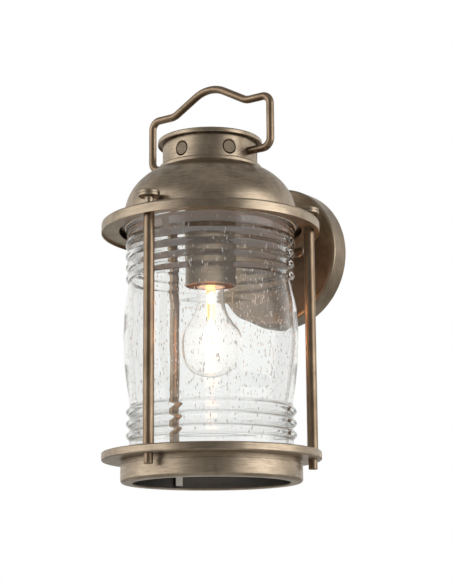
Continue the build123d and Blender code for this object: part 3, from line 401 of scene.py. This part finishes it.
# Body line of the jar, outside and inside: height against radius, in mm, through foot, belly and rim.
OUTER_HEIGHTS = [-208.0, -200.0, -192.0, -172.0, -161.0, -154.0, -140.0, -123.0, -98.0, -75.0, -62.0, -47.0,
                 -36.0, -8.0, 0.0, 7.0]
OUTER_RADII = [77.6, 76.2, 75.5, 75.4, 75.4, 76.2, 78.6, 80.6, 81.75, 80.9, 79.2, 77.2, 77.3, 77.8, 79.2, 80.3]
BORE_HEIGHTS = [-208.0, -160.0, -140.0, -98.0, -62.0, -44.0, 7.0]
BORE_RADII = [72.4, 72.4, 75.6, 78.7, 76.2, 74.4, 74.4]
JAR_STEPS = 160                 # round the axis
JAR_ROWS = 420                  # up the outer wall


def jar_ribs(z_mm, upper, lower):
    """How far the ribs stand out at a height, in mm: a raised cosine along each run of ribs, which
    fades in and out over half a rib.  The two shares scale the upper and the lower run."""
    def run(first, count, pitch, size):
        phase = (first - z_mm) / pitch
        inside = (phase > -0.5) & (phase < count - 0.5)
        return np.where(inside, size * (0.5 + 0.5 * np.cos(2 * np.pi * phase)) ** 0.8, 0.0)

    return run(-9.4, 4, 10.7, 2.4 * upper) + run(-167.4, 3, 10.9, 3.5 * lower)


def soft_line(z_mm, heights, radii, window):
    """The line through points of height and radius, in mm, smoothed by a running mean whose weights
    rise and fall as a raised cosine over a window of quarter millimetres."""
    fine_z = np.linspace(-230, 30, 1041)
    weights = np.hanning(window)
    fine_r = np.pad(np.interp(fine_z, heights, radii), window // 2, mode="edge")
    return np.interp(z_mm, fine_z, np.convolve(fine_r, weights / weights.sum(), mode="valid"))


def jar_radius(z):
    """Outer radius of the jar at a height, in metres: its body line plus the ribs."""
    z_mm = z / MM
    return (soft_line(z_mm, OUTER_HEIGHTS, OUTER_RADII, 31) + jar_ribs(z_mm, 1.0, 1.0)) * MM


def jar_bore(z):
    """Inner radius of the jar: its body line, a wall's thickness inside, following the ribs as a blown
    jar does, closely at the foot and loosely at the rim."""
    z_mm = z / MM
    return (soft_line(z_mm, BORE_HEIGHTS, BORE_RADII, 61) + jar_ribs(z_mm, 0.45, 0.8)) * MM


def rounded_rim(outer, inner, z, up):
    """Half-ellipse that joins the outer wall to the inner at a height, without its two ends."""
    angle = np.linspace(0, np.pi, 7)[1:-1]
    centre, half = (outer + inner) / 2, (outer - inner) / 2
    return centre + half * np.cos(angle), z + up * half * np.sin(angle) * 0.6


RIM_ROOM = 1.2 * MM             # for the rounded edge at either end
outer_z = np.linspace(jar_low[2] + RIM_ROOM, jar_high[2] - RIM_ROOM, JAR_ROWS)
inner_z = outer_z[::-1][::2]
outer_r, inner_r = jar_radius(outer_z), jar_bore(inner_z)
top_r, top_z = rounded_rim(outer_r[-1], inner_r[0], outer_z[-1], 1)
foot_r, foot_z = rounded_rim(outer_r[0], inner_r[-1], outer_z[0], -1)
jar_r = np.concatenate([outer_r, top_r, inner_r, foot_r[::-1]])
jar_z = np.concatenate([outer_z, top_z, inner_z, foot_z[::-1]])
seeded_jar = lathe("seeded_jar", jar_r, jar_z, jar_glass, JAR_STEPS)
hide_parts("glass_jar")
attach(seeded_jar, "lantern")


# ---- seeds: the small bubbles in the glass ----------------------------------------------------
def coarse_ball(rings, around):
    """Unit ball: x = sin a cos b, y = sin a sin b, z = cos a, with a pole at each end.  Gives its
    points, the quads between its rings and the triangles round its poles."""
    a, b = np.meshgrid(np.linspace(0, np.pi, rings + 2)[1:-1],
                       np.linspace(0, 2 * np.pi, around, endpoint=False), indexing="ij")
    belt = np.stack([np.sin(a) * np.cos(b), np.sin(a) * np.sin(b), np.cos(a)], -1).reshape(-1, 3)
    points = np.vstack([belt, [[0, 0, 1], [0, 0, -1]]])
    here = np.arange(around)
    after = (here + 1) % around
    top, foot, last = np.full(around, rings * around), np.full(around, rings * around + 1), (rings - 1) * around
    caps = np.vstack([np.stack([top, here, after], -1), np.stack([foot, last + after, last + here], -1)])
    return points, grid_faces(rings, around, False, True), caps


def bubbles(name, count, seed):
    """Small upright ellipsoids scattered through the jar's wall, all in one mesh.

    Each is a coarse ball stretched along the blowing direction; its place is a random angle and
    height, and a depth between the two faces of the wall.
    """
    rng = np.random.default_rng(seed)
    z = rng.uniform(jar_low[2] + 14 * MM, jar_high[2] - 6 * MM, count)
    turn = rng.uniform(0, 2 * np.pi, count)
    wall_out, wall_in = jar_radius(z), jar_bore(z)
    wide = rng.uniform(0.25, 0.65, count) * MM
    tall = wide * rng.uniform(1.4, 3.8, count)
    share = rng.uniform(0.35, 0.65, count)
    radius = wall_in + (wall_out - wall_in) * share
    ball, quads, caps = coarse_ball(4, 6)
    centre = np.stack([radius * np.sin(turn), AXIS_Y - radius * np.cos(turn), z], -1)
    size = np.stack([wide, wide, tall], -1)
    points = centre[:, None] + ball[None] * size[:, None]
    first = len(ball) * np.arange(count)[:, None, None]
    faces = (quads + first).reshape(-1, 4).tolist() + (caps + first).reshape(-1, 3).tolist()
    return add_piece(name, points, faces, seed_glass_painted_reflection)


glass_seeds = bubbles("glass_seeds", 1900, 5)
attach(glass_seeds, "lantern")


# ---------------------------------------------------------------------------------------------
# Stage, light and camera
# ---------------------------------------------------------------------------------------------
# Brightness of the parts of the studio: the room in front, the backdrop on top of it, the two soft
# boxes on top of both, and the ceiling and the floor in place of them.
ROOM, BACKDROP, LEFT_BOX, RIGHT_BOX, CEILING, FLOOR = 0.20, 0.72, 1.7, 2.3, 0.4, 0.75

# Level directions of the studio: away from the camera, and to its right.
AWAY = Vector((-0.584, 0.811, 0.0))
RIGHT = Vector((0.811, 0.584, 0.0))

# Warm light of the lamp.
LAMP_COLOUR = "#ffa55c"


def world_light():
    """Studio light by direction: a white room behind, tall soft boxes left and right, a grey room in
    front, a dimmer ceiling and a pale floor.  The camera itself sees plain white.  What is seen
    through glass has darker sides and ends than what shines on it, which draws the glass's edges."""
    world = bpy.data.worlds.new("studio")
    bpy.context.scene.world = world
    world.use_nodes = True
    tree = world.node_tree
    tree.nodes.clear()
    direction = add_node(tree, "ShaderNodeTexCoord").outputs["Generated"]
    height = add_node(tree, "ShaderNodeSeparateXYZ", i0=direction).outputs["Z"]

    def facing(axis):
        """How squarely the direction faces along an axis, 1 for straight along it."""
        return add_node(tree, "ShaderNodeVectorMath", {"operation": "DOT_PRODUCT", 1: tuple(axis)},
                        i0=direction).outputs["Value"]

    def fade(value, start, end, start_level=0.0, end_level=1.0, curve="LINEAR"):
        """A level that changes from one to another as a value goes from start to end."""
        return add_node(tree, "ShaderNodeMapRange",
                        {"interpolation_type": curve, "From Min": start, "From Max": end,
                         "To Min": start_level, "To Max": end_level}, Value=value).outputs[0]

    def lobe(axis, start, end):
        """1 where the direction is within a cone about an axis, fading softly to 0."""
        return fade(facing(axis.normalized()), start, end, curve="SMOOTHSTEP")

    upward = Vector((0, 0, 0.1))
    level = add_node(tree, "ShaderNodeMath", {"operation": "MULTIPLY_ADD", 1: BACKDROP, 2: ROOM},
                     i0=lobe(AWAY, -0.15, 0.35)).outputs[0]
    for box, strength in ((lobe(-RIGHT - 0.35 * AWAY + upward, 0.80, 0.92), LEFT_BOX),
                          (lobe(RIGHT - 0.45 * AWAY + upward, 0.84, 0.94), RIGHT_BOX)):
        level = add_node(tree, "ShaderNodeMath", {"operation": "MULTIPLY_ADD", 1: strength}, i0=box,
                         i2=level).outputs[0]
    level = add_node(tree, "ShaderNodeMix", {3: CEILING}, i0=fade(height, 0.35, 0.8), i2=level).outputs[0]
    level = add_node(tree, "ShaderNodeMix", {3: FLOOR}, i0=fade(height, -0.05, -0.4), i2=level).outputs[0]
    shine = add_node(tree, "ShaderNodeBackground", {"Color": linear("#fbfaf6")}, Strength=level)

    side = add_node(tree, "ShaderNodeMath", {"operation": "ABSOLUTE"}, i0=facing(RIGHT)).outputs[0]
    end = add_node(tree, "ShaderNodeMath", {"operation": "ABSOLUTE"}, i0=height).outputs[0]
    dimmed = add_node(tree, "ShaderNodeMath", {"operation": "MULTIPLY"}, i0=fade(side, 0.55, 0.9, 1.0, 0.25),
                      i1=fade(end, 0.45, 0.8, 1.0, 0.3)).outputs[0]
    through = add_node(tree, "ShaderNodeBackground", {"Color": linear("#ffffff")}, Strength=dimmed)
    plain = add_node(tree, "ShaderNodeBackground", {"Color": linear("#ffffff"), "Strength": 1.0})
    rays = add_node(tree, "ShaderNodeLightPath")
    seen = add_node(tree, "ShaderNodeMixShader", i0=rays.outputs["Is Transmission Ray"], i1=shine.outputs[0],
                    i2=through.outputs[0])
    seen = add_node(tree, "ShaderNodeMixShader", i0=rays.outputs["Is Camera Ray"], i1=seen.outputs[0],
                    i2=plain.outputs[0])
    add_node(tree, "ShaderNodeOutputWorld", Surface=seen.outputs[0])


def lamp_light(name, place, watts, size):
    """Warm light inside the lamp, so that the cup's mouth glows."""
    data = bpy.data.lights.new(name, "POINT")
    data.energy = watts
    data.color = linear(LAMP_COLOUR)[:3]
    data.shadow_soft_size = size
    lamp = bpy.data.objects.new(name, data)
    lamp.location = tuple(place)
    bpy.context.scene.collection.objects.link(lamp)


def stage_floor():
    """A pale floor well below the lantern."""
    half, drop = 4.0, 0.35
    low = float(cad_box[0][2]) - drop
    corners = np.array([[[x, y, low] for y in (-half, half)] for x in (-half, half)])
    paint = coated("pale_floor", "#e9e9e7", "#e4e4e2", 0.7, mottle_mm=200.0)
    floor = add_piece("stage_floor", corners, grid_faces(2, 2, False, False).tolist(), paint)


def camera():
    """A long lens, low on the lantern's right front, looking slightly up."""
    data = bpy.data.cameras.new("camera")
    data.lens = 95.95
    data.sensor_width = 36.0
    data.clip_start, data.clip_end = 0.05, 20.0
    eye = bpy.data.objects.new("camera", data)
    right = Vector((0.81053964, 0.5856408, -0.00709624))
    up = Vector((0.12583632, -0.16230144, 0.97868456))
    forward = Vector((-0.57200587, 0.79415559, 0.20524663))
    place = (0.8486, -1.2837, -0.3538)
    turn = Matrix((right, up, -forward)).transposed()
    eye.matrix_world = Matrix.Translation(place) @ turn.to_4x4()
    bpy.context.scene.collection.objects.link(eye)
    bpy.context.scene.camera = eye


def render_settings():
    """Plain colours, and enough bounces for a lamp inside a glass jar."""
    scene = bpy.context.scene
    scene.view_settings.view_transform = "Standard"
    scene.cycles.use_denoising = True
    scene.cycles.max_bounces = 24
    scene.cycles.transmission_bounces = 20
    scene.cycles.transparent_max_bounces = 24
    scene.cycles.sample_clamp_indirect = 6.0


world_light()
lamp_light("filament_light", middle("filament_wires"), 0.05, 6 * MM)
cap_foot = float(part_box("lamp_cap")[0][2])
lamp_light("neck_light", (0, AXIS_Y, cap_foot - 9 * MM), 0.035, 4 * MM)
stage_floor()
camera()
render_settings()
